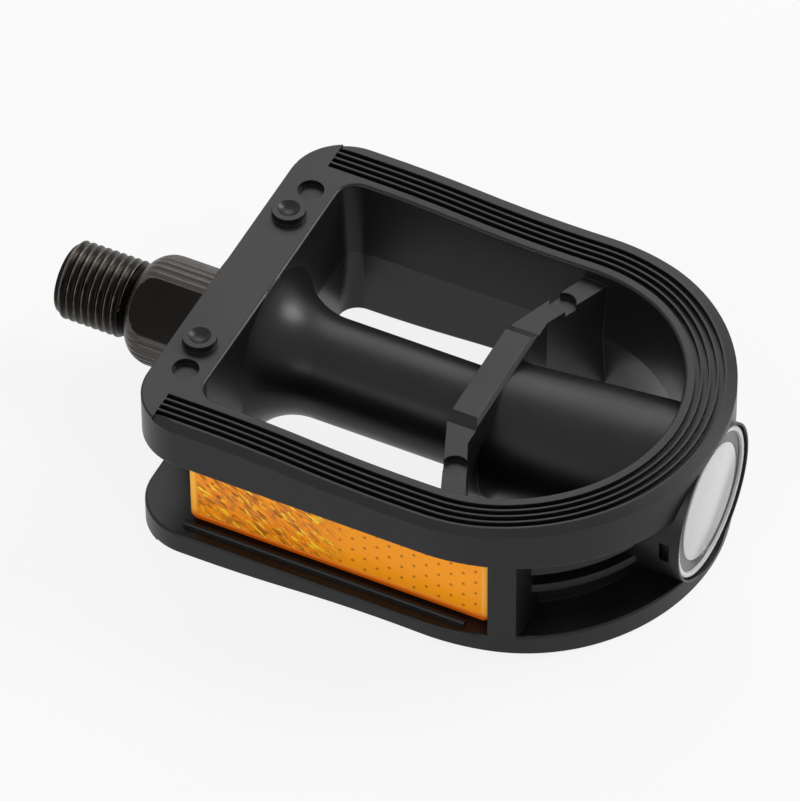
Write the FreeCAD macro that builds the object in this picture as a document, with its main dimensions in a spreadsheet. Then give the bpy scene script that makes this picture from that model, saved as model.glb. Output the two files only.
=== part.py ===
"""Platform bicycle pedal: a moulded body that turns on a steel spindle in two rows of balls.

Millimetres. X runs along the axle from the crank shoulder (X = 0) to the dust cap,
Z is up through the tread, Y is across the foot.
"""
import FreeCAD, Part
import math
import os
import types

import Sketcher

# Driving dimensions: alias, value, what it measures
SIZES = [
    ("thread_radius", 6.35, "crank thread, half inch"),
    ("thread_length", 11.6, "crank thread from its end to the shoulder"),
    ("thread_chamfer", 0.9, "lead-in on the crank thread"),
    ("collar_radius", 8.8, "wrench collar"),
    ("collar_length", 13.4, "wrench collar"),
    ("collar_chamfer", 0.3, "edge of the wrench collar beside the body"),
    ("dome_length", 4.3, "rounded shoulder of the wrench collar"),
    ("relief_length", 0.6, "plain relief between thread and collar"),
    ("relief_radius", 5.7, "plain relief between thread and collar"),
    ("flat_width", 15.0, "across the two wrench flats"),
    ("flat_angle", 42.0, "turn of the wrench flats about the axle, degrees"),
    ("neck_radius", 8.0, "spindle between collar and inner race"),
    ("shaft_radius", 5.0, "spindle inside the barrel"),
    ("axle_end_radius", 4.0, "threaded outer end of the spindle"),
    ("axle_end_overhang", 0.9, "spindle beyond the lock nut"),
    ("key_width", 2.0, "keyway along the outer end"),
    ("key_depth", 0.9, "keyway along the outer end"),
    ("crank_face", 14.5, "crank shoulder to the body"),
    ("body_length", 82.5, "moulded body along the axle"),
    ("body_half_height", 13.54, "axle to the tread"),
    ("body_half_width", 33.0, "axle to the side, and radius of the round outer end"),
    ("corner_radius", 9.0, "crank corners of the body"),
    ("dish_start", 11.5, "crank edge of the body to the hollow of both treads"),
    ("dish_length", 65.0, "hollow of both treads along the axle"),
    ("dish_depth", 1.35, "hollow of both treads"),
    ("border_width", 1.55, "sloped border of both treads"),
    ("border_drop", 0.5, "sloped border of both treads, at its outer edge"),
    ("plate_round", 0.3, "rounded edge of both treads beside the crank"),
    ("opening_round", 0.5, "rounded edges of the foot opening"),
    ("channel_round", 0.4, "rounded outer edges of the side channel"),
    ("crank_rail", 8.8, "width of the body beside the crank"),
    ("rail", 7.85, "width of the body round the foot opening"),
    ("opening_corner", 3.2, "crank corners of the foot opening"),
    ("opening_draft", 0.9, "inward swell of the opening's walls at mid height"),
    ("web_thickness", 0.9, "wall between the foot opening and the side channel"),
    ("skirt_depth", 7.8, "outer wall below the upper tread"),
    ("skirt_thickness", 1.6, "outer wall below the upper tread"),
    ("plate_thickness", 3.6, "upper plate over the side channel"),
    ("rim_height", 4.35, "lower plate"),
    ("post_setback", 10.3, "centre of the round end to the post beside the reflector"),
    ("post_width", 3.9, "post between reflector bay and outer window"),
    ("sill_height", 0.8, "lip in front of the reflector"),
    ("sill_width", 1.0, "lip in front of the reflector"),
    ("sill_gap", 1.0, "reflector face to the lip"),
    ("sill_end_gap", 4.0, "lip to the post"),
    ("rib_reach", 2.2, "stiffening ribs standing out from the web"),
    ("rib_thickness", 1.6, "stiffening ribs"),
    ("rib_pitch", 3.7, "stiffening ribs"),
    ("boss_radius", 13.5, "crank boss"),
    ("end_boss_radius", 12.6, "outer boss"),
    ("boss_inset", 0.4, "round end to the face of the outer boss"),
    ("barrel_radius", 8.0, "tube around the spindle"),
    ("flare_length", 9.5, "trumpet from the crank boss down to the tube"),
    ("cone_radius", 10.6, "small end of the outer cone"),
    ("cone_end_inset", 11.0, "round end to the large end of the outer cone"),
    ("passage_radius", 6.0, "spindle passage through the tube"),
    ("bar_setback", 6.15, "crossbar's crank side behind the centre of the round end"),
    ("bar_width", 4.75, "crossbar along the axle"),
    ("bar_half_height", 10.4, "crossbar above and below the axle"),
    ("bar_bend", 11.0, "straight middle of the crossbar's crank side, each way from the axle"),
    ("bar_sweep", 5.9, "crossbar's crank side swept to the round end"),
    ("bar_outer_bend", 13.7, "straight middle of the crossbar's outer side, each way from the axle"),
    ("bar_outer_sweep", 5.25, "crossbar's outer side swept to the round end"),
    ("bar_rise", 0.9, "raised middle of the crossbar"),
    ("bar_ramp", 1.8, "slope down from the raised middle"),
    ("bar_chamfer", 0.6, "sloped edge of the raised middle, beside the outer cone"),
    ("groove_count", 4, "tread grooves"),
    ("groove_border", 1.93, "side of the body to the tread grooves"),
    ("groove_pitch", 1.2, "tread grooves"),
    ("groove_width", 0.85, "tread grooves"),
    ("groove_depth", 0.9, "tread grooves"),
    ("groove_start", 4.9, "crank edge of the body to the tread grooves"),
    ("stud_inset", 4.15, "crank edge of the body to the grip studs"),
    ("stud_spread", 14.9, "axle to each grip stud"),
    ("stud_radius", 2.65, "grip stud"),
    ("stud_height", 1.2, "grip stud"),
    ("dimple_radius", 1.75, "hollow in the grip stud"),
    ("dimple_depth", 0.7, "hollow in the grip stud"),
    ("mark_inset", 4.85, "crank edge of the body to the ejector marks"),
    ("mark_spread", 20.95, "axle to each ejector mark"),
    ("mark_radius", 2.05, "ejector mark"),
    ("mark_depth", 1.0, "ejector mark"),
    ("bar_mark_spread", 18.7, "axle to each ejector mark on the crossbar"),
    ("ball_radius", 1.984, "bearing ball, five thirty-seconds of an inch across"),
    ("ball_count", 11, "balls in each bearing"),
    ("ball_circle", 7.4, "axle to the ball centres"),
    ("race_gap", 0.06, "ball to race"),
    ("inner_ball_inset", 4.3, "crank edge of the body to the inner ball centres"),
    ("outer_ball_inset", 14.5, "round end to the outer ball centres"),
    ("cup_radius", 10.6, "bearing cups, pressed into the body"),
    ("cup_mouth", 2.8, "ball centres to the cup's open edge"),
    ("cup_floor", 1.2, "bearing cup behind the balls"),
    ("cup_hole", 6.4, "spindle hole in the bearing cup"),
    ("race_land", 1.0, "plain land beyond each race"),
    ("cone_flange", 0.6, "cone nut's flange above the ball centres"),
    ("cone_body", 2.2, "cone nut behind its race"),
    ("thread_gap", 0.05, "spindle thread to nut threads and keys"),
    ("washer_radius", 6.8, "keyed lock washer"),
    ("washer_thickness", 1.2, "keyed lock washer"),
    ("nut_width", 13.0, "lock nut across flats"),
    ("nut_thickness", 4.4, "lock nut"),
    ("cap_radius", 12.1, "dust cap"),
    ("cap_gap", 0.15, "dust cap to the rim of its seat"),
    ("cap_thickness", 1.1, "dust cap's disc"),
    ("cap_inset", 0.75, "round end to the face of the dust cap"),
    ("cap_plug_length", 2.6, "dust cap's plug inside the boss"),
    ("cap_plug_wall", 1.2, "dust cap's plug"),
    ("cap_bead_inset", 1.7, "rim of the dust cap to its raised bead"),
    ("cap_bead_width", 1.0, "raised bead on the dust cap"),
    ("cap_bead_height", 0.35, "raised bead on the dust cap"),
    ("slot_length", 1.6, "pry slot in the outer boss, along the axle"),
    ("slot_half_height", 1.8, "pry slot in the outer boss"),
    ("slot_depth", 1.5, "pry slot in the outer boss"),
    ("slot_land", 2.0, "pry slot to the round end"),
    ("lens_length", 49.9, "reflector along the axle"),
    ("lens_height", 16.6, "reflector"),
    ("lens_thickness", 2.1, "reflector lens"),
    ("lens_corner", 0.9, "cut corners of the reflector"),
    ("lens_frame", 1.1, "raised edge around the lens face"),
    ("lens_frame_depth", 0.35, "raised edge around the lens face"),
    ("reflector_back", 1.0, "plate behind the lens"),
    ("reflector_gap", 0.8, "reflector to the post"),
]

# Two places closer than this are one
TOUCH = 1e-4

document = FreeCAD.newDocument("bicycle_pedal")


class Size:
    """A length that knows its number and the sheet expression that drives it."""

    def __init__(self, number, text=None):
        self.number = float(number)
        self.text = text or repr(self.number)

    def joined(self, sign, other, number):
        return Size(number, f"({self.text} {sign} {as_size(other).text})")

    def __add__(self, other):
        return self.joined("+", other, self.number + as_size(other).number)

    def __radd__(self, other):
        return as_size(other) + self

    def __sub__(self, other):
        return self.joined("-", other, self.number - as_size(other).number)

    def __rsub__(self, other):
        return as_size(other) - self

    def __mul__(self, other):
        return self.joined("*", other, self.number * as_size(other).number)

    def __truediv__(self, other):
        return self.joined("/", other, self.number / as_size(other).number)

    def __neg__(self):
        return Size(-self.number, f"(0 - {self.text})")


def as_size(value):
    return value if isinstance(value, Size) else Size(value)


def root(size):
    return Size(math.sqrt(size.number), f"sqrt({size.text})")


def leg(long_side, side):
    """The other side of a right triangle: how far out a circle lies at a given offset."""
    return root(long_side * long_side - side * side)


def make_sheet():
    """The sheet of driving dimensions, and the same values as Size objects by name."""
    sheet = document.addObject("Spreadsheet::Sheet", "sizes")
    for row, (alias, value, meaning) in enumerate(SIZES, start=1):
        sheet.set(f"A{row}", meaning)
        sheet.set(f"B{row}", str(value))
        sheet.setAlias(f"B{row}", alias)
    document.recompute()
    return types.SimpleNamespace(**{alias: Size(value, f"sizes.{alias}") for alias, value, _ in SIZES})


s = make_sheet()
nothing = Size(0, "0")

# Places along the axle that several pieces share
outer_end = s.crank_face + s.body_length
end_centre = outer_end - s.body_half_width
opening_start = s.crank_face + s.crank_rail
opening_half_width = s.body_half_width - s.rail
corner_along = s.crank_face + s.corner_radius
tread_start = s.crank_face + s.groove_start
post_start = end_centre + s.post_setback
post_end = post_start + s.post_width
bar_start = end_centre - s.bar_setback
bar_end = bar_start + s.bar_width
inner_balls_at = s.crank_face + s.inner_ball_inset
outer_balls_at = outer_end - s.outer_ball_inset
race_radius = s.ball_radius + s.race_gap
cone_back = outer_balls_at + race_radius + s.cone_body
washer_back = cone_back + s.washer_thickness
nut_back = washer_back + s.nut_thickness
axle_end = nut_back + s.axle_end_overhang
boss_end = outer_end - s.boss_inset
cap_face = outer_end - s.cap_inset
cap_seat = cap_face - s.cap_thickness

# Heights and widths that several pieces share
skirt_bottom = s.body_half_height - s.skirt_depth
channel_roof = s.body_half_height - s.plate_thickness
channel_floor = s.rim_height - s.body_half_height
web_face = opening_half_width + s.web_thickness
lens_face = web_face + s.reflector_back + s.lens_thickness
sill_face = lens_face + s.sill_gap
beyond = s.body_half_width + s.corner_radius
before_crank = s.crank_face - s.corner_radius
past_end = outer_end + s.corner_radius


def new_body(label):
    body = document.addObject("PartDesign::Body", label)
    body.Label = label
    return body


def bind(thing, **properties):
    """Drive properties of an object from the sheet, such as Length=s.body_length."""
    for name, size in properties.items():
        thing.setExpression(name, as_size(size).text)


def new_sketch(body, name, plane="XY_Plane", height=None, turn=None):
    """A sketch on one of the body's own planes, lifted along its normal and turned about it."""
    sketch = body.newObject("Sketcher::SketchObject", name)
    support = next(item for item in body.Origin.OriginFeatures if item.Role == plane)
    sketch.AttachmentSupport = [(support, "")]
    sketch.MapMode = "FlatFace"
    if height is not None:
        sketch.setExpression("AttachmentOffset.Base.z", as_size(height).text)
    if turn is not None:
        sketch.AttachmentOffset = FreeCAD.Placement(
            FreeCAD.Vector(), FreeCAD.Rotation(FreeCAD.Vector(0, 0, 1), turn.number))
        sketch.setExpression("AttachmentOffset.Rotation.Angle", turn.text)
    return sketch


def pin_point(sketch, geometry, place, x, y):
    """Tie one point of a sketch to two sheet expressions."""
    for kind, size in (("DistanceX", x), ("DistanceY", y)):
        index = sketch.addConstraint(Sketcher.Constraint(kind, geometry, place, size.number))
        sketch.setExpression(f"Constraints[{index}]", size.text)


def set_radius(sketch, geometry, radius):
    index = sketch.addConstraint(Sketcher.Constraint("Radius", geometry, radius.number))
    sketch.setExpression(f"Constraints[{index}]", radius.text)


def arc_between(first, last, radius, bulge):
    """The arc from first to last, its centre left (+1) or right (-1) of the way there."""
    chord = last - first
    middle = first + chord * 0.5
    half = chord.Length / 2
    side = FreeCAD.Vector(-chord.y, chord.x, 0).normalize()
    centre = middle + side * (math.sqrt(max(radius * radius - half * half, 0)) * (1 if bulge > 0 else -1))
    if abs(bulge) == 2:
        centre = middle * 2 - centre
    ends = (first, last) if bulge > 0 else (last, first)
    angles = [math.atan2(end.y - centre.y, end.x - centre.x) for end in ends]
    circle = Part.Circle(centre, FreeCAD.Vector(0, 0, 1), radius)
    return Part.ArcOfCircle(circle, angles[0], angles[1])


def add_wire(sketch, *steps):
    """A closed outline. Each step is (x, y), or (x, y, radius, bulge) for an arc on to the next point.

    bulge is 1 for a counter-clockwise arc and -1 for a clockwise one, and 2 or -2 where the arc
    is more than a half turn.
    """
    points = []
    for step in steps:
        x, y = as_size(step[0]), as_size(step[1])
        point = sketch.addGeometry(Part.Point(FreeCAD.Vector(x.number, y.number, 0)), True)
        pin_point(sketch, point, 1, x, y)
        points.append((point, FreeCAD.Vector(x.number, y.number, 0)))
    for step, (start, first), (stop, last) in zip(steps, points, points[1:] + points[:1]):
        if len(step) == 2:
            piece = sketch.addGeometry(Part.LineSegment(first, last))
            joins = ((1, start), (2, stop))
        else:
            piece = sketch.addGeometry(arc_between(first, last, step[2].number, step[3]))
            joins = ((1, start), (2, stop)) if step[3] > 0 else ((2, start), (1, stop))
        for place, point in joins:
            sketch.addConstraint(Sketcher.Constraint("Coincident", piece, place, point, 1))
        if len(step) > 2:
            set_radius(sketch, piece, step[2])


def add_circle(sketch, x, y, radius):
    x, y = as_size(x), as_size(y)
    circle = Part.Circle(FreeCAD.Vector(x.number, y.number, 0), FreeCAD.Vector(0, 0, 1), radius.number)
    geometry = sketch.addGeometry(circle)
    pin_point(sketch, geometry, 3, x, y)
    set_radius(sketch, geometry, radius)


def pad(body, sketch, length, name, both_ways=False, back=False):
    feature = body.newObject("PartDesign::Pad", name)
    feature.Profile = sketch
    feature.Midplane = both_ways
    feature.Reversed = back
    bind(feature, Length=length)
    return feature


def pocket(body, sketch, length, name, both_ways=False, back=False):
    """A cut that runs down from its sketch, both ways, or up (back). It has to take material away."""
    document.recompute()
    before = body.Shape.Volume
    feature = body.newObject("PartDesign::Pocket", name)
    feature.Profile = sketch
    feature.Midplane = both_ways
    feature.Reversed = back
    bind(feature, Length=length)
    document.recompute()
    if body.Shape.Volume >= before:
        raise RuntimeError(f"{name} takes nothing away")
    return feature


def turned(body, sketch, name, kind="PartDesign::Revolution"):
    """A profile turned right round the axle; PartDesign::Groove turns it as a cut."""
    feature = body.newObject(kind, name)
    feature.Profile = sketch
    feature.ReferenceAxis = (sketch, ["H_Axis"])
    feature.Angle = 360
    return feature


def turned_body(label, *steps):
    """A piece that is one turned profile, given as (along the axle, out from it)."""
    body = new_body(label)
    profile = new_sketch(body, f"{label}_profile")
    add_wire(profile, *steps)
    turned(body, profile, f"{label}_turned")
    return body


def both_sides(place):
    """The same place on each side of the axle."""
    return (place, -place)


def round_run(inset, way):
    """Steps round the outer end, from the front side to the rear one; way -1 goes back."""
    half = s.body_half_width - inset
    return [
        (end_centre, -half * way, half, way),
        (end_centre + half, 0, half, way),
        (end_centre, half * way),
    ]


def tread_run(lower, side, way):
    """Steps along a hollowed tread, lower than it by a given depth. side is 1 for the upper tread and
    -1 for the lower one; way is 1 from the crank to the round end and -1 back."""
    start = s.crank_face + s.dish_start
    stop = start + s.dish_length
    quarter = s.dish_length / 4
    top = (s.body_half_height - lower) * side
    turn = top - s.dish_depth / 2 * side
    radius = (quarter * quarter * 4 + s.dish_depth * s.dish_depth) / (s.dish_depth * 4)
    first, last = (start, stop) if way > 0 else (stop, start)
    return [
        (first, top, radius, -way * side),
        (first + quarter * way, turn, radius, way * side),
        (last - quarter * way, turn, radius, -way * side),
        (last, top),
    ]


def tread_block(sketch, lower):
    """The body seen from its side between both treads, or a form lower than them by a given depth."""
    top = s.body_half_height - lower
    add_wire(
        sketch,
        (before_crank, top),
        *tread_run(lower, 1, 1),
        (past_end, top),
        (past_end, -top),
        *tread_run(lower, -1, -1),
        (before_crank, -top))


def crank_run(inset):
    """Steps round the two crank corners, from the rear side to the front one."""
    side = s.body_half_width - inset
    corner = s.corner_radius - inset
    corner_out = s.body_half_width - s.corner_radius
    crank = s.crank_face + inset
    return [
        (corner_along, side, corner, 1),
        (crank, corner_out),
        (crank, -corner_out, corner, 1),
        (corner_along, -side),
    ]


def body_outline(sketch, inset):
    """The body seen from above, or a line inside it by inset."""
    add_wire(sketch, *crank_run(inset), *round_run(inset, 1))


def opening_outline(sketch, grow):
    """The foot opening seen from above, made larger by grow."""
    half = opening_half_width + grow
    start = opening_start - grow
    corner = s.opening_corner + grow
    add_wire(
        sketch,
        (start, half - corner),
        (start, corner - half, corner, 1),
        (start + corner, -half),
        (end_centre, -half, half, 1),
        (end_centre + half, 0, half, 1),
        (end_centre, half),
        (start + corner, half, corner, 1))


def web_crank_side():
    """Steps along the outside of the web, from one post round the crank end to the other."""
    corner = s.opening_corner + s.web_thickness
    start = opening_start - s.web_thickness
    post_out = leg(web_face, s.post_setback)
    return [
        (post_start, -post_out, web_face, -1),
        (end_centre, -web_face),
        (start + corner, -web_face, corner, -1),
        (start, corner - web_face),
        (start, web_face - corner, corner, -1),
        (start + corner, web_face),
        (end_centre, web_face, web_face, -1),
        (post_start, post_out),
    ]


def make_block(body):
    """The solid body: its side view with both hollowed treads, trimmed to its outline. Returns the outline."""
    sketch = new_sketch(body, "side_view", "XZ_Plane")
    tread_block(sketch, nothing)
    pad(body, sketch, beyond * 2, "block", both_ways=True)
    near = before_crank - s.corner_radius
    far = past_end + s.corner_radius
    wide = beyond + s.corner_radius
    sketch = new_sketch(body, "trim_plan")
    add_wire(sketch, (near, -wide), (far, -wide), (far, wide), (near, wide))
    body_outline(sketch, nothing)
    pocket(body, sketch, s.body_half_height * 4, "trim", both_ways=True)
    outline = new_sketch(body, "body_plan")
    body_outline(outline, nothing)
    return outline


def cut_channels(body):
    """The channel round the outside of the body, left solid only at the two posts."""
    past_post = s.post_setback + s.post_width
    post_out = leg(web_face, past_post)
    sketch = new_sketch(body, "channel_plan", height=skirt_bottom)
    add_wire(
        sketch,
        *web_crank_side(),
        (post_start, beyond),
        (before_crank, beyond),
        (before_crank, -beyond),
        (post_start, -beyond))
    add_wire(
        sketch,
        (post_end, -post_out, web_face, 1),
        (post_end, post_out),
        (post_end, beyond),
        (past_end, beyond),
        (past_end, -beyond),
        (post_end, -beyond))
    pocket(body, sketch, skirt_bottom - channel_floor, "channel_cut")

    inside = s.body_half_width - s.skirt_thickness
    skirt_at_post = leg(inside, s.post_setback)
    skirt_past_post = leg(inside, past_post)
    sketch = new_sketch(body, "channel_roof_plan", height=channel_roof)
    add_wire(
        sketch,
        *web_crank_side(),
        (post_start, skirt_at_post, inside, 1),
        (end_centre, inside),
        *crank_run(s.skirt_thickness),
        (end_centre, -inside, inside, 1),
        (post_start, -skirt_at_post))
    add_wire(
        sketch,
        (post_end, -post_out, web_face, 1),
        (post_end, post_out),
        (post_end, skirt_past_post, inside, -1),
        (post_end, -skirt_past_post))
    pocket(body, sketch, channel_roof - skirt_bottom, "channel_roof_cut")


def cut_opening(body):
    """The foot opening, narrowest at mid height where the two mould halves meet."""
    for name, sign in (("upper", 1), ("lower", -1)):
        middle = new_sketch(body, f"opening_middle_{name}")
        opening_outline(middle, -s.opening_draft)
        edge = new_sketch(body, f"opening_edge_{name}", height=s.body_half_height * sign)
        opening_outline(edge, nothing)
        document.recompute()
        before = body.Shape.Volume
        loft = body.newObject("PartDesign::SubtractiveLoft", f"opening_{name}")
        loft.Profile = middle
        loft.Sections = [edge]
        loft.Ruled = True
        document.recompute()
        if body.Shape.Volume >= before:
            raise RuntimeError(f"opening_{name} takes nothing away")


def dress_edges(body, name, kind, wanted, **sizes):
    """A fillet or a chamfer along the edges that are wanted at both ends and in the middle."""
    document.recompute()
    base = body.Tip
    edges = []
    for number, edge in enumerate(base.Shape.Edges, start=1):
        places = [vertex.Point for vertex in edge.Vertexes]
        places.append(edge.valueAt((edge.FirstParameter + edge.LastParameter) / 2))
        if all(wanted(place) for place in places):
            edges.append(f"Edge{number}")
    feature = body.newObject(kind, name)
    feature.Base = (base, edges)
    bind(feature, **sizes)
    return feature


def on_outline(outline, place):
    return outline.Shape.distToShape(Part.Vertex(place.x, place.y, 0))[0] < TOUCH


def dress_treads(body, outline):
    """The sloped border round both treads, and the rounded edges of the foot opening."""
    lowest = s.body_half_height.number - s.dish_depth.number - TOUCH
    for name, side in (("upper", 1), ("lower", -1)):
        border = dress_edges(
            body, f"{name}_border", "PartDesign::Chamfer",
            lambda place: place.z * side > lowest and on_outline(outline, place),
            Size=s.border_width, Size2=s.border_drop)
        border.ChamferType = "Two distances"
        border.FlipDirection = side < 0
        dress_edges(
            body, f"{name}_opening_edge", "PartDesign::Fillet",
            lambda place: place.z * side > lowest and inside_border(place),
            Radius=s.opening_round)


def inside_border(place):
    """Whether a place on a tread lies well inside its sloped border, where only the foot opening has edges."""
    out = abs(place.y)
    if place.x > end_centre.number:
        out = math.hypot(place.x - end_centre.number, place.y)
    return out < s.body_half_width.number - s.rail.number / 2 and place.x > tread_start.number


def add_crank_plates(body, outline):
    """The ends of both treads beside the crank, which have no border."""
    corner_out = s.body_half_width - s.corner_radius
    start_out = corner_out + leg(s.corner_radius, corner_along - tread_start)
    sketch = new_sketch(body, "crank_plate_plan")
    add_wire(
        sketch,
        (tread_start, start_out, s.corner_radius, 1),
        (s.crank_face, corner_out),
        (s.crank_face, -corner_out, s.corner_radius, 1),
        (tread_start, -start_out))
    pad(body, sketch, s.body_half_height * 2, "crank_plates", both_ways=True)
    height = s.body_half_height.number
    dress_edges(
        body, "crank_plate_edge", "PartDesign::Fillet",
        lambda place: abs(abs(place.z) - height) < TOUCH and on_outline(outline, place),
        Radius=s.plate_round)


def round_channel_edges(body, outline):
    """Round the lower edge of the skirt and the upper edge of the lower plate, along the outside."""
    for name, height in (("skirt_edge", skirt_bottom.number), ("rim_edge", channel_floor.number)):
        dress_edges(
            body, name, "PartDesign::Fillet",
            lambda place: abs(place.z - height) < TOUCH and on_outline(outline, place),
            Radius=s.channel_round)


def add_sills(body):
    """The low half-round lip that holds each reflector in its bay."""
    half = s.sill_width / 2
    top = channel_floor + s.sill_height - half
    base = channel_floor - s.sill_height
    sketch = new_sketch(body, "sill_profile", "YZ_Plane", height=corner_along)
    for near in (sill_face, -sill_face - s.sill_width):
        middle = near + half
        far = near + s.sill_width
        add_wire(
            sketch,
            (near, base),
            (far, base),
            (far, top, half, 1),
            (middle, top + half, half, 1),
            (near, top))
    pad(body, sketch, post_start - s.sill_end_gap - corner_along, "sills")


def add_ribs(body):
    """Three stiffening ribs on the web behind the outer windows."""
    inner = opening_half_width + s.web_thickness / 2
    outer = web_face + s.rib_reach
    along = s.post_setback + s.post_width
    for place, name in ((-1, "lower"), (0, "middle"), (1, "upper")):
        sketch = new_sketch(body, f"rib_plan_{name}", height=s.rib_pitch * place)
        add_wire(
            sketch,
            (post_end, -leg(outer, along), outer, 1),
            (post_end, leg(outer, along)),
            (post_end, leg(inner, along), inner, -1),
            (post_end, -leg(inner, along)))
        pad(body, sketch, s.rib_thickness, f"rib_{name}", both_ways=True)


def add_crossbar(body):
    """The bent bar that ties the tube to both sides of the body, with a raised middle."""
    reach = opening_half_width + s.web_thickness / 2
    near = bar_start + s.bar_sweep
    far = bar_end + s.bar_outer_sweep
    sketch = new_sketch(body, "crossbar_plan")
    add_wire(
        sketch,
        (near, -reach),
        (far, -reach),
        (bar_end, -s.bar_outer_bend),
        (bar_end, s.bar_outer_bend),
        (far, reach),
        (near, reach),
        (bar_start, s.bar_bend),
        (bar_start, -s.bar_bend))
    pad(body, sketch, s.bar_half_height * 2, "crossbar", both_ways=True)
    crest = s.bar_bend - s.bar_ramp
    top = s.bar_half_height + s.bar_rise
    sketch = new_sketch(body, "crossbar_crest", "YZ_Plane", height=bar_start)
    add_wire(
        sketch,
        (-s.bar_bend, -s.bar_half_height),
        (-crest, -top),
        (crest, -top),
        (s.bar_bend, -s.bar_half_height),
        (s.bar_bend, s.bar_half_height),
        (crest, top),
        (-crest, top),
        (-s.bar_bend, s.bar_half_height))
    pad(body, sketch, s.bar_width, "crossbar_middle")
    dress_edges(
        body, "crossbar_slope", "PartDesign::Chamfer",
        lambda place: abs(abs(place.z) - top.number) < TOUCH and abs(place.x - bar_end.number) < TOUCH,
        Size=s.bar_chamfer)


def add_barrel(body):
    """The crank boss, trumpet, tube, outer cone and outer boss, as one turned form."""
    rise = s.boss_radius - s.barrel_radius
    flare = (s.flare_length * s.flare_length + rise * rise) / (rise * 2)
    sketch = new_sketch(body, "barrel_profile")
    add_wire(
        sketch,
        (s.crank_face, 0),
        (boss_end, 0),
        (boss_end, s.end_boss_radius),
        (outer_end - s.cone_end_inset, s.end_boss_radius),
        (bar_end, s.cone_radius),
        (bar_end, s.barrel_radius),
        (opening_start + s.flare_length, s.barrel_radius, flare, -1),
        (opening_start, s.boss_radius),
        (s.crank_face, s.boss_radius))
    turned(body, sketch, "barrel")


def bore_barrel(body):
    """Seats for both cups and the dust cap, and the passage for the spindle."""
    inner_seat = inner_balls_at + race_radius + s.cup_floor
    outer_seat = outer_balls_at - race_radius - s.cup_floor
    cap_hole = s.cap_radius + s.cap_gap
    sketch = new_sketch(body, "bore_profile")
    add_wire(
        sketch,
        (s.crank_face, 0),
        (past_end, 0),
        (past_end, cap_hole),
        (cap_seat, cap_hole),
        (cap_seat, s.cup_radius),
        (outer_seat, s.cup_radius),
        (outer_seat, s.passage_radius),
        (inner_seat, s.passage_radius),
        (inner_seat, s.cup_radius),
        (s.crank_face, s.cup_radius))
    turned(body, sketch, "bore", "PartDesign::Groove")


def cut_pry_slot(body):
    """A square slot in the front of the outer boss, to lift the dust cap."""
    stop = outer_end - s.slot_land
    sketch = new_sketch(body, "slot_plan", "XZ_Plane", height=s.end_boss_radius + s.slot_depth)
    add_wire(
        sketch,
        (stop - s.slot_length, -s.slot_half_height),
        (stop, -s.slot_half_height),
        (stop, s.slot_half_height),
        (stop - s.slot_length, s.slot_half_height))
    pocket(body, sketch, s.slot_depth * 2, "pry_slot")


def cut_treads(body):
    """Grooves that follow the outline of both treads, with floors that follow their hollows."""
    cutter = new_body("groove_cutter")
    sketch = new_sketch(cutter, "groove_plan")
    for index in range(int(s.groove_count.number)):
        outer = s.groove_border + s.groove_pitch * index
        steps = []
        for inset, way in ((outer, 1), (outer + s.groove_width, -1)):
            out = (s.body_half_width - inset) * way
            steps += [(tread_start, -out), *round_run(inset, way), (tread_start, out)]
        add_wire(sketch, *steps)
    pad(cutter, sketch, (s.body_half_height + s.groove_depth) * 2, "groove_walls", both_ways=True)
    sketch = new_sketch(cutter, "groove_floors", "XZ_Plane")
    tread_block(sketch, s.groove_depth)
    pocket(cutter, sketch, beyond * 2, "groove_floor_cut", both_ways=True)
    grooves = body.newObject("PartDesign::Boolean", "tread_grooves")
    grooves.Type = "Cut"
    grooves.setObjects([cutter])


def add_studs_and_marks(body):
    """Two dimpled grip studs by the crank, and the round marks of the mould's ejector pins."""
    stud_at = s.crank_face + s.stud_inset
    sketch = new_sketch(body, "stud_plan", height=s.body_half_height)
    for place in both_sides(s.stud_spread):
        add_circle(sketch, stud_at, place, s.stud_radius)
    pad(body, sketch, s.stud_height, "studs")
    ball = (s.dimple_radius * s.dimple_radius + s.dimple_depth * s.dimple_depth) / (s.dimple_depth * 2)
    for place, name in zip(both_sides(s.stud_spread), ("rear", "front")):
        dimple = body.newObject("PartDesign::SubtractiveSphere", f"dimple_{name}")
        bind(dimple, Radius=ball)
        dimple.setExpression("Placement.Base.x", stud_at.text)
        dimple.setExpression("Placement.Base.y", place.text)
        dimple.setExpression(
            "Placement.Base.z", (s.body_half_height + s.stud_height - s.dimple_depth + ball).text)
    sketch = new_sketch(body, "mark_plan", height=s.body_half_height)
    for place in both_sides(s.mark_spread):
        add_circle(sketch, s.crank_face + s.mark_inset, place, s.mark_radius)
    pocket(body, sketch, s.mark_depth, "marks")
    reach = opening_half_width + s.web_thickness / 2
    near = bar_start + s.bar_sweep * (s.bar_mark_spread - s.bar_bend) / (reach - s.bar_bend)
    far = bar_end + s.bar_outer_sweep * (s.bar_mark_spread - s.bar_outer_bend) / (reach - s.bar_outer_bend)
    sketch = new_sketch(body, "bar_mark_plan", height=s.bar_half_height)
    for place in both_sides(s.bar_mark_spread):
        add_circle(sketch, (near + far) / 2, place, s.mark_radius)
    pocket(body, sketch, s.mark_depth, "bar_marks")


def make_pedal_body():
    body = new_body("pedal_body")
    outline = make_block(body)
    cut_opening(body)
    dress_treads(body, outline)
    add_crank_plates(body, outline)
    cut_channels(body)
    round_channel_edges(body, outline)
    add_sills(body)
    add_ribs(body)
    add_crossbar(body)
    add_barrel(body)
    bore_barrel(body)
    cut_pry_slot(body)
    cut_treads(body)
    add_studs_and_marks(body)
    return body


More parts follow.
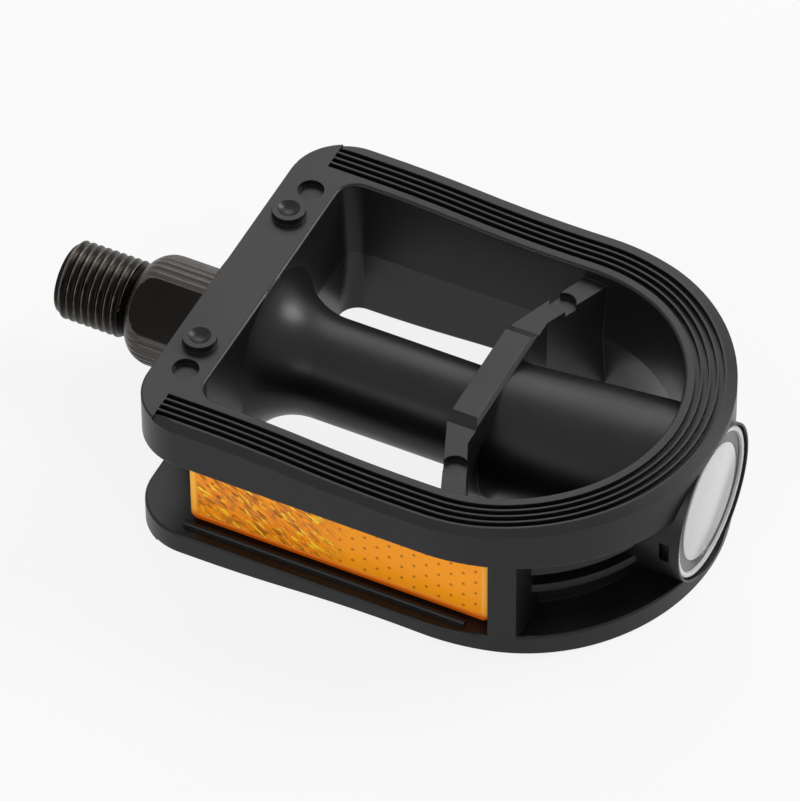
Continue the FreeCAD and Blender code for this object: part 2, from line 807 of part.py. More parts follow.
def make_spindle():
    """The forged spindle: crank thread, wrench collar, inner race, shaft and keyed outer end."""
    tip = -s.thread_length
    race_end = inner_balls_at + s.race_land
    shaft_end = outer_balls_at - s.race_land - s.race_land
    low = s.ball_circle - race_radius
    rise = s.collar_radius - s.relief_radius
    dome = (s.dome_length * s.dome_length + rise * rise) / (rise * 2)
    body = turned_body(
        "spindle",
        (tip, 0),
        (axle_end, 0),
        (axle_end, s.axle_end_radius - s.thread_chamfer),
        (axle_end - s.thread_chamfer, s.axle_end_radius),
        (shaft_end, s.axle_end_radius),
        (shaft_end - s.race_land, s.shaft_radius),
        (race_end + s.race_land, s.shaft_radius),
        (race_end, low),
        (inner_balls_at, low, race_radius, -1),
        (inner_balls_at - race_radius, s.ball_circle),
        (inner_balls_at - race_radius, s.neck_radius),
        (s.collar_length, s.neck_radius),
        (s.collar_length, s.collar_radius - s.collar_chamfer),
        (s.collar_length - s.collar_chamfer, s.collar_radius),
        (s.relief_length + s.dome_length, s.collar_radius, dome, 1),
        (s.relief_length, s.relief_radius),
        (0, s.relief_radius),
        (0, s.thread_radius),
        (tip + s.thread_chamfer, s.thread_radius),
        (tip, s.thread_radius - s.thread_chamfer))
    flats = new_sketch(body, "flat_plan", "YZ_Plane", turn=s.flat_angle)
    for sign in (1, -1):
        near = s.flat_width / 2 * sign
        far = s.collar_radius * 2 * sign
        wide = s.collar_radius
        add_wire(flats, (-wide, near), (wide, near), (wide, far), (-wide, far))
    pocket(body, flats, s.collar_length, "wrench_flats", back=True)
    key = new_sketch(body, "keyway_plan", "YZ_Plane", height=axle_end)
    half = s.key_width / 2
    floor = s.axle_end_radius - s.key_depth
    add_wire(key, (-half, floor), (half, floor), (half, s.axle_end_radius * 2), (-half, s.axle_end_radius * 2))
    pocket(body, key, axle_end - cone_back + s.race_land, "keyway")
    return body


def make_cup(label, centre, way):
    """A bearing cup: the balls run in the round corner between its wall and its floor."""
    return turned_body(
        label,
        (centre - s.cup_mouth * way, s.cup_radius),
        (centre - s.cup_mouth * way, s.ball_circle + race_radius),
        (centre, s.ball_circle + race_radius, race_radius, -way),
        (centre + race_radius * way, s.ball_circle),
        (centre + race_radius * way, s.cup_hole),
        (centre + (race_radius + s.cup_floor) * way, s.cup_hole),
        (centre + (race_radius + s.cup_floor) * way, s.cup_radius))


def make_balls(label, centre):
    """One row of loose balls, as separate solids in one group."""
    count = int(s.ball_count.number)
    balls = []
    for index in range(count):
        ball = document.addObject("Part::Sphere", f"{label}_{index + 1}")
        angle = f"{index} * 360deg / sizes.ball_count"
        bind(ball, Radius=s.ball_radius)
        ball.setExpression("Placement.Base.x", centre.text)
        ball.setExpression("Placement.Base.y", f"{s.ball_circle.text} * cos({angle})")
        ball.setExpression("Placement.Base.z", f"{s.ball_circle.text} * sin({angle})")
        balls.append(ball)
    group = document.addObject("Part::Compound", label)
    group.Label = label
    group.Links = balls
    return group


def make_cone_nut():
    """The adjustable race that screws onto the spindle's outer end."""
    hole = s.axle_end_radius + s.thread_gap
    low = s.ball_circle - race_radius
    return turned_body(
        "cone_nut",
        (outer_balls_at - s.race_land, hole),
        (cone_back, hole),
        (cone_back, s.ball_circle + s.cone_flange),
        (outer_balls_at + race_radius, s.ball_circle + s.cone_flange),
        (outer_balls_at + race_radius, s.ball_circle, race_radius, -1),
        (outer_balls_at, low),
        (outer_balls_at - s.race_land, low))


def make_lock_washer():
    """A washer whose inner tongue sits in the spindle's keyway."""
    body = new_body("lock_washer")
    hole = s.axle_end_radius + s.thread_gap
    sketch = new_sketch(body, "washer_plan", "YZ_Plane", height=cone_back)
    add_circle(sketch, 0, 0, s.washer_radius)
    add_circle(sketch, 0, 0, hole)
    pad(body, sketch, s.washer_thickness, "washer_disc")
    tongue = new_sketch(body, "tongue_plan", "YZ_Plane", height=cone_back)
    half = s.key_width / 2 - s.thread_gap
    bottom = s.axle_end_radius - s.key_depth + s.thread_gap
    top = (hole + s.washer_radius) / 2
    add_wire(tongue, (-half, bottom), (half, bottom), (half, top), (-half, top))
    pad(body, tongue, s.washer_thickness, "washer_tongue")
    return body


def make_lock_nut():
    body = new_body("lock_nut")
    corner = s.nut_width / (2 * math.cos(math.radians(30)))
    sketch = new_sketch(body, "nut_plan", "YZ_Plane", height=washer_back)
    turns = [math.radians(60 * index) for index in range(6)]
    add_wire(sketch, *[(corner * math.cos(turn), corner * math.sin(turn)) for turn in turns])
    add_circle(sketch, 0, 0, s.axle_end_radius + s.thread_gap)
    pad(body, sketch, s.nut_thickness, "nut_block")
    return body


def make_dust_cap():
    """The cap over the outer bearing: a disc with a raised bead, on a short hollow plug."""
    bead_out = s.cap_radius - s.cap_bead_inset
    bead_in = bead_out - s.cap_bead_width
    plug_end = cap_seat - s.cap_plug_length
    plug_in = s.cup_radius - s.cap_plug_wall
    return turned_body(
        "dust_cap",
        (cap_seat, 0),
        (cap_face - s.cap_bead_height, 0),
        (cap_face - s.cap_bead_height, bead_in),
        (cap_face, bead_in),
        (cap_face, bead_out),
        (cap_face - s.cap_bead_height, bead_out),
        (cap_face - s.cap_bead_height, s.cap_radius - s.cap_bead_height),
        (cap_face - s.cap_bead_height * 2, s.cap_radius),
        (cap_seat, s.cap_radius),
        (cap_seat, s.cup_radius),
        (plug_end, s.cup_radius),
        (plug_end, plug_in),
        (cap_seat, plug_in))


def reflector_plan(sketch, inset):
    """A reflector seen from its own side, with cut corners."""
    stop = post_start - s.reflector_gap - inset
    start = post_start - s.reflector_gap - s.lens_length + inset
    bottom = channel_floor + inset
    top = channel_floor + s.lens_height - inset
    cut = s.lens_corner
    add_wire(
        sketch,
        (start + cut, bottom),
        (stop - cut, bottom),
        (stop, bottom + cut),
        (stop, top - cut),
        (stop - cut, top),
        (start + cut, top),
        (start, top - cut),
        (start, bottom + cut))


def make_reflector(side, way):
    """An amber lens with a raised edge, welded to a plain back plate."""
    plate = new_body(f"{side}_reflector_back")
    sketch = new_sketch(plate, f"{side}_back_plan", "XZ_Plane", height=web_face * -way)
    reflector_plan(sketch, nothing)
    pad(plate, sketch, s.reflector_back, f"{side}_back_plate", back=way > 0)
    lens = new_body(f"{side}_reflector_lens")
    sketch = new_sketch(lens, f"{side}_lens_plan", "XZ_Plane", height=(web_face + s.reflector_back) * -way)
    reflector_plan(sketch, nothing)
    pad(lens, sketch, s.lens_thickness, f"{side}_lens_block", back=way > 0)
    sketch = new_sketch(lens, f"{side}_lens_field", "XZ_Plane", height=lens_face * -way)
    reflector_plan(sketch, s.lens_frame)
    pocket(lens, sketch, s.lens_frame_depth, f"{side}_lens_field_cut", back=way > 0)
    return [plate, lens]


def make_all():
    return [
        make_pedal_body(),
        make_spindle(),
        make_cup("inner_bearing_cup", inner_balls_at, 1),
        make_cup("outer_bearing_cup", outer_balls_at, -1),
        make_balls("inner_balls", inner_balls_at),
        make_balls("outer_balls", outer_balls_at),
        make_cone_nut(),
        make_lock_washer(),
        make_lock_nut(),
        make_dust_cap(),
        *make_reflector("front", -1),
        *make_reflector("rear", 1),
    ]


def check_and_write(pieces):
    """Stop on any failed feature or bad solid, then write each piece to its own file."""
    document.recompute()
    failed = [item.Name for item in document.Objects if {"Invalid", "Error"} & set(item.State)]
    if failed:
        raise RuntimeError(f"failed features: {failed}")
    for piece in pieces:
        if piece.Shape.isNull() or not piece.Shape.isValid():
            raise RuntimeError(f"{piece.Label} has no valid solid")
    os.makedirs("parts", exist_ok=True)
    for piece in pieces:
        piece.Shape.exportStep(f"parts/{piece.Label}.step")
        print(piece.Label, len(piece.Shape.Solids), round(piece.Shape.Volume, 2))


check_and_write(make_all())
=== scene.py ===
"""Platform bicycle pedal: its finishes and fine detail, laid out as an add-on and run as a script.

Sizes are written in millimetres and turned to Blender's metres by MM.
X runs along the axle from the crank shoulder to the dust cap, Y is across the foot, Z is up.
"""

import math
import random

import bmesh
import bpy
from bpy.props import FloatProperty, FloatVectorProperty, IntProperty, PointerProperty
from mathutils import Matrix, Vector


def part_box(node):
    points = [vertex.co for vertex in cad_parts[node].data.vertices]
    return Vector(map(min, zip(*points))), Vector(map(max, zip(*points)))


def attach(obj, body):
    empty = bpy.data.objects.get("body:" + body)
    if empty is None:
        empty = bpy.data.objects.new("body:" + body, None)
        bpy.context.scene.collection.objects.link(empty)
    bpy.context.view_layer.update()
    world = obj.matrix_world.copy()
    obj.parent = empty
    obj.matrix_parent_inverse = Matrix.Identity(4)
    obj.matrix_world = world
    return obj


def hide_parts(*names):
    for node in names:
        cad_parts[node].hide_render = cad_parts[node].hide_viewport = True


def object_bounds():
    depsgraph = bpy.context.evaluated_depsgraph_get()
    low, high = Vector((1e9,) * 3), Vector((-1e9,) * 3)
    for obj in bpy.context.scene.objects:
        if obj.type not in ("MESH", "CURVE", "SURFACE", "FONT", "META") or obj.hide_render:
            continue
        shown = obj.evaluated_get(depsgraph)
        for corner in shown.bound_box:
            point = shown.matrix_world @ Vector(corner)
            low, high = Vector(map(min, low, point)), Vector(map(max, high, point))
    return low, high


bl_info = {
    "name": "Bicycle Pedal",
    "version": (1, 0, 0),
    "blender": (4, 5, 0),
    "location": "View3D > Sidebar > Pedal",
    "description": "Finishes, crank thread, wrench collar, reflectors and dust cap of a platform pedal",
    "category": "Object",
}

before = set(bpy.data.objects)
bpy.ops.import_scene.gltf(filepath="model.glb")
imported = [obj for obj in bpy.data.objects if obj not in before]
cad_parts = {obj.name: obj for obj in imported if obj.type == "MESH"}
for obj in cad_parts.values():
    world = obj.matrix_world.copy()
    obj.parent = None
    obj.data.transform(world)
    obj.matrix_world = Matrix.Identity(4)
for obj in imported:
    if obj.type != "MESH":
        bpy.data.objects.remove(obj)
cad_low, cad_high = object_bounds()

MM = 0.001
AXLE = Vector((1, 0, 0))
SHARP_ANGLE = math.radians(32)
MERGE = 0.0005 * MM
CLEAR = 0.01 * MM
FLOOR_REACH = 3.0
POINTS_PER_FLUTE = 10
DOME_STEPS = 12
THREAD_STEPS = 72
CAP_STEPS = 128

# Sockets of a Mix node that mixes colours, whose names repeat.
SHARE, FIRST, SECOND = 0, 6, 7
MIXED = 2


def linear(code):
    """An sRGB hex colour such as #1b1b1c as linear red, green and blue."""
    channels = [int(code[place:place + 2], 16) / 255 for place in (1, 3, 5)]
    return [value / 12.92 if value <= 0.04045 else ((value + 0.055) / 1.055) ** 2.4 for value in channels]


def length_property(name, size_mm, description):
    return FloatProperty(
        name=name, description=description, default=size_mm * MM, unit="LENGTH", precision=5)


def angle_property(name, degrees, description):
    return FloatProperty(name=name, description=description, default=math.radians(degrees), subtype="ANGLE")


def power_property(name, watts, description):
    return FloatProperty(name=name, description=description, default=watts, unit="POWER")


def colour_property(name, code, description):
    return FloatVectorProperty(
        name=name, description=description, default=linear(code), subtype="COLOR", size=3, min=0.0, max=1.0)


class PedalSpindleSettings(bpy.types.PropertyGroup):
    """Sizes of the crank thread and the wrench collar."""

    thread_radius: length_property("Thread radius", 6.25, "Crest of the half inch crank thread")
    thread_pitch: length_property("Thread pitch", 1.27, "Twenty threads to the inch")
    thread_depth: length_property("Thread depth", 0.74, "Crest to root of the crank thread")
    crest_round: length_property("Crest round", 0.03, "Rounded corners of the thread's crest")
    lead_in: length_property("Lead-in", 0.9, "Chamfer on the end of the crank thread")
    undercut_length: length_property("Undercut length", 0.35, "Plain relief before the shoulder")
    relief_length: length_property("Relief length", 0.6, "Plain relief past the shoulder")
    relief_radius: length_property("Relief radius", 5.7, "Plain relief between thread and collar")
    dome_length: length_property("Dome length", 4.3, "Rounded shoulder of the collar")
    collar_length: length_property("Collar length", 13.4, "Shoulder to the collar's far end")
    collar_radius: length_property("Collar radius", 8.8, "Wrench collar over the flutes")
    collar_chamfer: length_property("Collar chamfer", 0.3, "Edge of the collar beside the body")
    flat_width: length_property("Across flats", 15.0, "The two wrench flats")
    flat_angle: angle_property("Flat angle", 42.0, "Turn of the wrench flats about the axle")
    flute_count: IntProperty(
        name="Flutes", description="Lengthwise flutes round the collar", default=38, min=12, max=200)
    flute_depth: length_property("Flute depth", 0.3, "Lengthwise flutes round the collar")
    flute_start: length_property("Flute start", 2.2, "Shoulder to where the flutes begin")
    flute_run: length_property("Flute run", 2.0, "Length over which the flutes come to full depth")


class PedalReflectorSettings(bpy.types.PropertyGroup):
    """Sizes of the lens and its prisms."""

    corner: length_property("Corner", 0.9, "Cut corners of the lens")
    edge_round: length_property("Edge", 0.7, "Rounded front edge of the lens")
    border: length_property("Border", 0.55, "Plain border inside the rounded edge")
    field_depth: length_property("Field depth", 0.2, "Prism field behind the border")
    prism_pitch: length_property("Prism pitch", 1.1, "Diagonal rows of prisms")
    cell_pitch: length_property("Cell pitch", 2.35, "Six-sided cells of the outer half of the lens")
    dot_radius: length_property("Dot radius", 0.26, "Dark corner at the middle of each cell")
    prism_height: length_property("Prism height", 0.16, "Prisms of the crank half of the lens")
    dot_height: length_property("Dot height", 0.05, "Shallow prisms of the outer half of the lens")
    dash_length: length_property("Dash length", 1.25, "Bright and dark dashes of the crank half")
    dash_width: length_property("Dash width", 0.36, "Bright and dark dashes of the crank half")
    dash_depth: length_property("Dash depth", 4.0, "Deeper than the lens, for one layer of dashes")
    dash_slant: angle_property("Dash slant", 34.0, "Lean of the dashes")
    dash_fade: length_property("Dash fade", 5.0, "Where the dashes begin to fade, before the middle")
    dash_end: length_property("Dash end", 2.0, "Where the dashes are gone, past the middle")
    glow_height: length_property("Glow height", 1.0, "Deep orange foot of the lens")
    glow_fade: length_property("Glow fade", 2.2, "Where the deep orange is gone")


class PedalCapSettings(bpy.types.PropertyGroup):
    """Sizes of the dust cap."""

    disc_thickness: length_property("Disc", 1.1, "Thickness of the disc")
    plug_radius: length_property("Plug radius", 10.6, "Plug inside the boss")
    plug_wall: length_property("Plug wall", 1.2, "Wall of the plug")
    rim_width: length_property("Rim width", 0.9, "Raised ring round the cap")
    groove_width: length_property("Groove width", 1.9, "Groove between the raised ring and the disc")
    groove_depth: length_property("Groove depth", 0.45, "Groove between the raised ring and the disc")
    disc_depth: length_property("Disc depth", 0.2, "Disc behind the raised ring")
    edge_round: length_property("Edge", 0.12, "Rounded edges")


class PedalFinishSettings(bpy.types.PropertyGroup):
    """Colours of the finishes."""

    plastic_dark: colour_property("Plastic, dark", "#0d0d0e", "Darkest tone of the moulded body")
    plastic_light: colour_property("Plastic, light", "#151516", "Lightest tone of the moulded body")
    oxide: colour_property("Black oxide", "#1d1b19", "Oiled black oxide on the spindle")
    # Painted highlight: a lighter colour for the thread's crests.
    crest: colour_property("Thread crest", "#625d56", "Painted highlight on the thread's crests")
    # Painted sheen: a lighter oxide for the round collar, standing in for the light its flutes reflect.
    painted_sheen: colour_property("Oxide, painted sheen", "#454240", "Black oxide painted lighter on the collar as painted sheen")
    bearing: colour_property("Bearing steel", "#b4b1ac", "Ground cups and cones")
    ball: colour_property("Ball steel", "#dcdcdc", "Polished balls")
    zinc: colour_property("Zinc", "#bdbdb6", "Plated washer and nut")
    cap: colour_property("Cap", "#b8b8b7", "Pale grey dust cap")
    # Painted shade: a dark grey for the floor of the cap's groove, standing in for the shade in the groove.
    cap_groove_painted_shade: colour_property("Cap groove, painted shade", "#303030", "Painted shade on the floor of the dust cap's groove")
    amber_glint: colour_property("Amber, glint", "#ffe03c", "Prisms that throw light straight back")
    amber_light: colour_property("Amber, light", "#ffa01e", "Lightest plain tone of the lens")
    amber_mid: colour_property("Amber", "#f98f16", "Main tone of the lens")
    amber_clear: colour_property("Amber, clear", "#ffb640", "Plain edges of the lens")
    amber_dull: colour_property("Amber, dull", "#d07e2a", "Prisms that throw back little light")
    # Painted glow: the deep orange of the lens's foot.
    amber_deep: colour_property("Amber, deep", "#dc6206", "Lower edge of the lens")
    amber_shade: colour_property("Amber, shade", "#a45a16", "Prisms that throw light away")
    back_plate: colour_property("Back plate", "#e0d8c8", "Plate behind the lens")


class PedalStageSettings(bpy.types.PropertyGroup):
    """Camera, floor and light."""

    azimuth: angle_property("Azimuth", 26.39, "Camera round the object; zero looks along +Y")
    elevation: angle_property("Elevation", 46.454, "Camera above the horizon")
    roll: angle_property("Roll", -0.471, "Camera turned about its own line of sight")
    distance: length_property("Distance", 1217.7, "Camera to the point it looks at")
    aim: FloatVectorProperty(
        name="Aim", description="Point the camera looks at", default=(0.04549, -0.00177, 0.0004),
        subtype="TRANSLATION", unit="LENGTH", size=3)
    lens: FloatProperty(name="Focal length", description="Millimetres on a 36 mm sensor", default=363.48)
    floor_colour: colour_property("Floor", "#f8f8f8", "Pale floor and background")
    shadow_share: FloatProperty(
        name="Shadow", description="How much of the floor's own shading shows", default=0.08,
        subtype="FACTOR", min=0.0, max=1.0)
    fill: FloatProperty(name="Fill", description="Strength of the even light all round", default=0.52)
    key_power: power_property("Key", 4.0, "Lamp above and behind")
    side_power: power_property("Side", 11.5, "Lamp behind the round end")
    front_power: power_property("Front", 2.4, "Low lamp before the reflector")


def add(tree, kind, inputs=None, **settings):
    """Add a node, with its settings, and with each input either a value or another node's output."""
    made = tree.nodes.new(kind)
    for name, value in settings.items():
        setattr(made, name, value)
    for place, value in (inputs or {}).items():
        if isinstance(value, bpy.types.NodeSocket):
            tree.links.new(value, made.inputs[place])
        else:
            made.inputs[place].default_value = value
    return made


def new_material(name):
    """An empty node material and its tree."""
    material = bpy.data.materials.new(name)
    material.use_nodes = True
    material.node_tree.nodes.clear()
    return material, material.node_tree


def show(tree, shader):
    """Send a shader to the material's surface."""
    add(tree, "ShaderNodeOutputMaterial", {"Surface": shader.outputs[0]})


def opaque(colour):
    return (*colour, 1.0)


def per_metre(size_mm):
    """Texture scale at which one feature is size_mm wide."""
    return 1.0 / (size_mm * MM)


def black_polypropylene():
    """Polypropylene with carbon black, moulded in a spark-eroded tool.

    Near black and satin: a fine even grain, and broad faint clouds of gloss from the flow in the mould.
    """
    colours = bpy.context.scene.pedal_finish
    material, tree = new_material("polypropylene_moulded_black")
    place = add(tree, "ShaderNodeTexCoord").outputs["Object"]
    cloud = add(tree, "ShaderNodeTexNoise", {"Vector": place, "Scale": per_metre(9.0), "Detail": 3.0})
    grain = add(tree, "ShaderNodeTexNoise", {"Vector": place, "Scale": per_metre(0.3), "Detail": 2.0})
    tone = add(tree, "ShaderNodeMix", {
        SHARE: cloud.outputs["Fac"], FIRST: opaque(colours.plastic_dark),
        SECOND: opaque(colours.plastic_light)}, data_type="RGBA")
    gloss = add(tree, "ShaderNodeMapRange", {
        "Value": cloud.outputs["Fac"], "From Min": 0.3, "From Max": 0.7, "To Min": 0.33, "To Max": 0.4})
    edge = add(tree, "ShaderNodeBevel", {"Radius": 0.16 * MM}, samples=6)
    bump = add(tree, "ShaderNodeBump", {
        "Height": grain.outputs["Fac"], "Strength": 0.35, "Distance": 0.02 * MM, "Normal": edge.outputs[0]})
    show(tree, add(tree, "ShaderNodeBsdfPrincipled", {
        "Base Color": tone.outputs[MIXED], "Roughness": gloss.outputs[0], "IOR": 1.49,
        "Specular IOR Level": 0.26, "Normal": bump.outputs[0]}))
    return material


def oxide_steel(name, plain):
    """Forged and turned steel with oiled black oxide.

    Brown-black with a low gloss and fine turning lines round the axle, with a painted highlight on the
    thread's crests.
    """
    sizes = bpy.context.scene.pedal_spindle
    colours = bpy.context.scene.pedal_finish
    material, tree = new_material(name)
    place = add(tree, "ShaderNodeTexCoord").outputs["Object"]
    parts = add(tree, "ShaderNodeSeparateXYZ", {0: place})
    around = add(tree, "ShaderNodeCombineXYZ", {1: parts.outputs[1], 2: parts.outputs[2]})
    radius = add(tree, "ShaderNodeVectorMath", {0: around.outputs[0]}, operation="LENGTH")
    # Painted highlight: the thread's crests, before the shoulder, are painted the crest colour.
    crest = add(tree, "ShaderNodeMapRange", {
        "Value": radius.outputs["Value"],
        "From Min": sizes.thread_radius - sizes.thread_depth * 0.4,
        "From Max": sizes.thread_radius - sizes.thread_depth * 0.02})
    before = add(tree, "ShaderNodeMath", {0: parts.outputs[0], 1: 0.0}, operation="LESS_THAN")
    # Patchy noise: it breaks up the painted highlight on the crests and varies the gloss.
    painted_sheen = add(tree, "ShaderNodeTexNoise", {"Vector": place, "Scale": per_metre(1.2), "Detail": 4.0})
    patchy = add(tree, "ShaderNodeMapRange", {
        "Value": painted_sheen.outputs["Fac"], "From Min": 0.3, "From Max": 0.65, "To Min": 0.35, "To Max": 1.0})
    painted_crest_highlight = add(tree, "ShaderNodeMath", {
        0: crest.outputs[0], 1: before.outputs[0]}, operation="MULTIPLY")
    bright = add(tree, "ShaderNodeMath", {
        0: painted_crest_highlight.outputs[0], 1: patchy.outputs[0]}, operation="MULTIPLY")
    colour = add(tree, "ShaderNodeMix", {
        SHARE: bright.outputs[0], FIRST: opaque(plain), SECOND: opaque(colours.crest)}, data_type="RGBA")
    gloss = add(tree, "ShaderNodeMapRange", {
        "Value": painted_sheen.outputs["Fac"], "From Min": 0.3, "From Max": 0.7, "To Min": 0.3, "To Max": 0.42})
    stretch = add(tree, "ShaderNodeMapping", {"Vector": place, "Scale": (1.0, 0.02, 0.02)})
    lines = add(tree, "ShaderNodeTexNoise", {
        "Vector": stretch.outputs[0], "Scale": per_metre(0.18), "Detail": 2.0})
    bump = add(tree, "ShaderNodeBump", {
        "Height": lines.outputs["Fac"], "Strength": 0.3, "Distance": 0.01 * MM})
    show(tree, add(tree, "ShaderNodeBsdfPrincipled", {
        "Base Color": colour.outputs[MIXED], "Metallic": 1.0, "Roughness": gloss.outputs[0],
        "Normal": bump.outputs[0]}))
    return material


def bare_steel(name, colour, roughness, line_mm, line_depth_mm):
    """Bare or plated steel: a grey metal with fine lines left by grinding or rolling."""
    material, tree = new_material(name)
    place = add(tree, "ShaderNodeTexCoord").outputs["Object"]
    stretch = add(tree, "ShaderNodeMapping", {"Vector": place, "Scale": (1.0, 0.05, 0.05)})
    lines = add(tree, "ShaderNodeTexNoise", {
        "Vector": stretch.outputs[0], "Scale": per_metre(line_mm), "Detail": 3.0})
    gloss = add(tree, "ShaderNodeMapRange", {
        "Value": lines.outputs["Fac"], "From Min": 0.3, "From Max": 0.7,
        "To Min": roughness * 0.8, "To Max": roughness * 1.25})
    bump = add(tree, "ShaderNodeBump", {
        "Height": lines.outputs["Fac"], "Strength": 0.3, "Distance": line_depth_mm * MM})
    show(tree, add(tree, "ShaderNodeBsdfPrincipled", {
        "Base Color": opaque(colour), "Metallic": 1.0, "Roughness": gloss.outputs[0],
        "Normal": bump.outputs[0]}))
    return material


def pale_abs(name, colour):
    """ABS moulded in a polished tool: pale grey, glossy, with the faint ripple of a thin moulded skin."""
    material, tree = new_material(name)
    place = add(tree, "ShaderNodeTexCoord").outputs["Object"]
    ripple = add(tree, "ShaderNodeTexNoise", {"Vector": place, "Scale": per_metre(2.2), "Detail": 2.0})
    tone = add(tree, "ShaderNodeMapRange", {
        "Value": ripple.outputs["Fac"], "From Min": 0.3, "From Max": 0.7, "To Min": 0.97, "To Max": 1.02})
    shade = add(tree, "ShaderNodeMix", {
        SHARE: 1.0, FIRST: opaque(colour), SECOND: tone.outputs[0]},
        data_type="RGBA", blend_type="MULTIPLY")
    bump = add(tree, "ShaderNodeBump", {
        "Height": ripple.outputs["Fac"], "Strength": 0.25, "Distance": 0.04 * MM})
    show(tree, add(tree, "ShaderNodeBsdfPrincipled", {
        "Base Color": shade.outputs[MIXED], "Roughness": 0.22, "IOR": 1.53, "Normal": bump.outputs[0]}))
    return material


def to_cell_corner(tree, place, pitch):
    """How far a place lies from the nearest corner of a six-sided grid of cells, seen along Y."""
    row = pitch * math.sqrt(3)
    flat = add(tree, "ShaderNodeVectorMath", {0: place, 1: (1.0, 0.0, 1.0)}, operation="MULTIPLY")
    reach = Vector((row / 2, 1.0, pitch / 2))
    lengths = []
    for shift in (Vector((0, 0, 0)), Vector((row / 2, 0, pitch / 2))):
        moved = add(tree, "ShaderNodeVectorMath", {0: flat.outputs[0], 1: shift})
        cell = add(tree, "ShaderNodeVectorMath", {
            0: moved.outputs[0], 1: reach, 2: -reach}, operation="WRAP")
        length = add(tree, "ShaderNodeVectorMath", {0: cell.outputs[0]}, operation="LENGTH")
        lengths.append(length.outputs["Value"])
    return add(tree, "ShaderNodeMath", {0: lengths[0], 1: lengths[1]}, operation="MINIMUM").outputs[0]


def show_amber(tree, colour, roughness):
    """Acrylic of one colour, with most of its gloss lost in the glow from inside."""
    show(tree, add(tree, "ShaderNodeBsdfPrincipled", {
        "Base Color": colour, "Roughness": roughness, "IOR": 1.49, "Specular IOR Level": 0.14}))


def amber_acrylic(middle):
    """Clear amber acrylic with prisms moulded in its back, under a smooth glossy skin.

    Its crank half is painted in slanting dashes, brown to bright yellow, as painted glints and shade for
    the light each prism throws its own way; past the middle the prisms are six-sided cells, so the lens is
    an even amber with rows of small dark dots of painted shade.
    """
    colours = bpy.context.scene.pedal_finish
    sizes = bpy.context.scene.pedal_reflector
    material, tree = new_material("acrylic_prismatic_amber")
    place = add(tree, "ShaderNodeTexCoord").outputs["Object"]
    slant = add(tree, "ShaderNodeMapping", {
        "Vector": place, "Rotation": (0.0, sizes.dash_slant, 0.0),
        "Scale": (sizes.dash_length, sizes.dash_depth, sizes.dash_width)}, vector_type="TEXTURE")
    dashes = add(tree, "ShaderNodeTexVoronoi", {"Vector": slant.outputs[0], "Scale": 1.0})
    dash_tone = add(tree, "ShaderNodeSeparateColor", {0: dashes.outputs["Color"]})
    glint = add(tree, "ShaderNodeValToRGB", {0: dash_tone.outputs[0]})
    # Painted glints and shade: the dashes run from the shade tone to the glint tone.
    stops = (
        (0.0, colours.amber_shade), (0.2, colours.amber_dull), (0.55, colours.amber_mid),
        (0.86, colours.amber_light), (0.98, colours.amber_glint))
    while len(glint.color_ramp.elements) < len(stops):
        glint.color_ramp.elements.new(0.5)
    for element, (spot, colour) in zip(glint.color_ramp.elements, stops):
        element.position = spot
        element.color = opaque(colour)
    # Painted shade: a dark dot at the corner of each cell.
    dot_share = add(tree, "ShaderNodeMapRange", {
        "Value": to_cell_corner(tree, place, sizes.cell_pitch),
        "From Min": sizes.dot_radius * 0.6, "From Max": sizes.dot_radius * 1.4,
        "To Min": 0.85, "To Max": 0.0})
    even = add(tree, "ShaderNodeMix", {
        SHARE: dot_share.outputs[0], FIRST: opaque(colours.amber_light),
        SECOND: opaque(colours.amber_shade)}, data_type="RGBA")
    along = add(tree, "ShaderNodeSeparateXYZ", {0: place})
    outer = add(tree, "ShaderNodeMapRange", {
        "Value": along.outputs[0],
        "From Min": middle - sizes.dash_fade, "From Max": middle + sizes.dash_end})
    colour = add(tree, "ShaderNodeMix", {
        SHARE: outer.outputs[0], FIRST: glint.outputs[0], SECOND: even.outputs[MIXED]}, data_type="RGBA")
    show_amber(tree, colour.outputs[MIXED], 0.25)
    return material


def amber_edge(bottom):
    """The same acrylic where it has no prisms: clear and light, with its foot painted a deep orange as a
    painted glow.
    """
    colours = bpy.context.scene.pedal_finish
    sizes = bpy.context.scene.pedal_reflector
    material, tree = new_material("acrylic_clear_amber_edge")
    place = add(tree, "ShaderNodeTexCoord").outputs["Object"]
    height = add(tree, "ShaderNodeSeparateXYZ", {0: place})
    # Painted glow: deep orange at the foot, fading to the clear amber above.
    above = add(tree, "ShaderNodeMapRange", {
        "Value": height.outputs[2],
        "From Min": bottom + sizes.glow_height, "From Max": bottom + sizes.glow_fade})
    tone = add(tree, "ShaderNodeMix", {
        SHARE: above.outputs[0], FIRST: opaque(colours.amber_deep),
        SECOND: opaque(colours.amber_clear)}, data_type="RGBA")
    show_amber(tree, tone.outputs[MIXED], 0.15)
    return material


def pale_styrene():
    """Polystyrene plate moulded plain behind the lens: off-white and slightly rough."""
    material, tree = new_material("polystyrene_moulded_pale")
    place = add(tree, "ShaderNodeTexCoord").outputs["Object"]
    grain = add(tree, "ShaderNodeTexNoise", {"Vector": place, "Scale": per_metre(0.5), "Detail": 2.0})
    bump = add(tree, "ShaderNodeBump", {
        "Height": grain.outputs["Fac"], "Strength": 0.3, "Distance": 0.03 * MM})
    show(tree, add(tree, "ShaderNodeBsdfPrincipled", {
        "Base Color": opaque(bpy.context.scene.pedal_finish.back_plate), "Roughness": 0.5, "IOR": 1.55,
        "Normal": bump.outputs[0]}))
    return material


def dress(node, material):
    """Give a CAD node its finish."""
    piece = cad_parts[node]
    if piece.material_slots:
        piece.material_slots[0].material = material
    else:
        piece.data.materials.append(material)


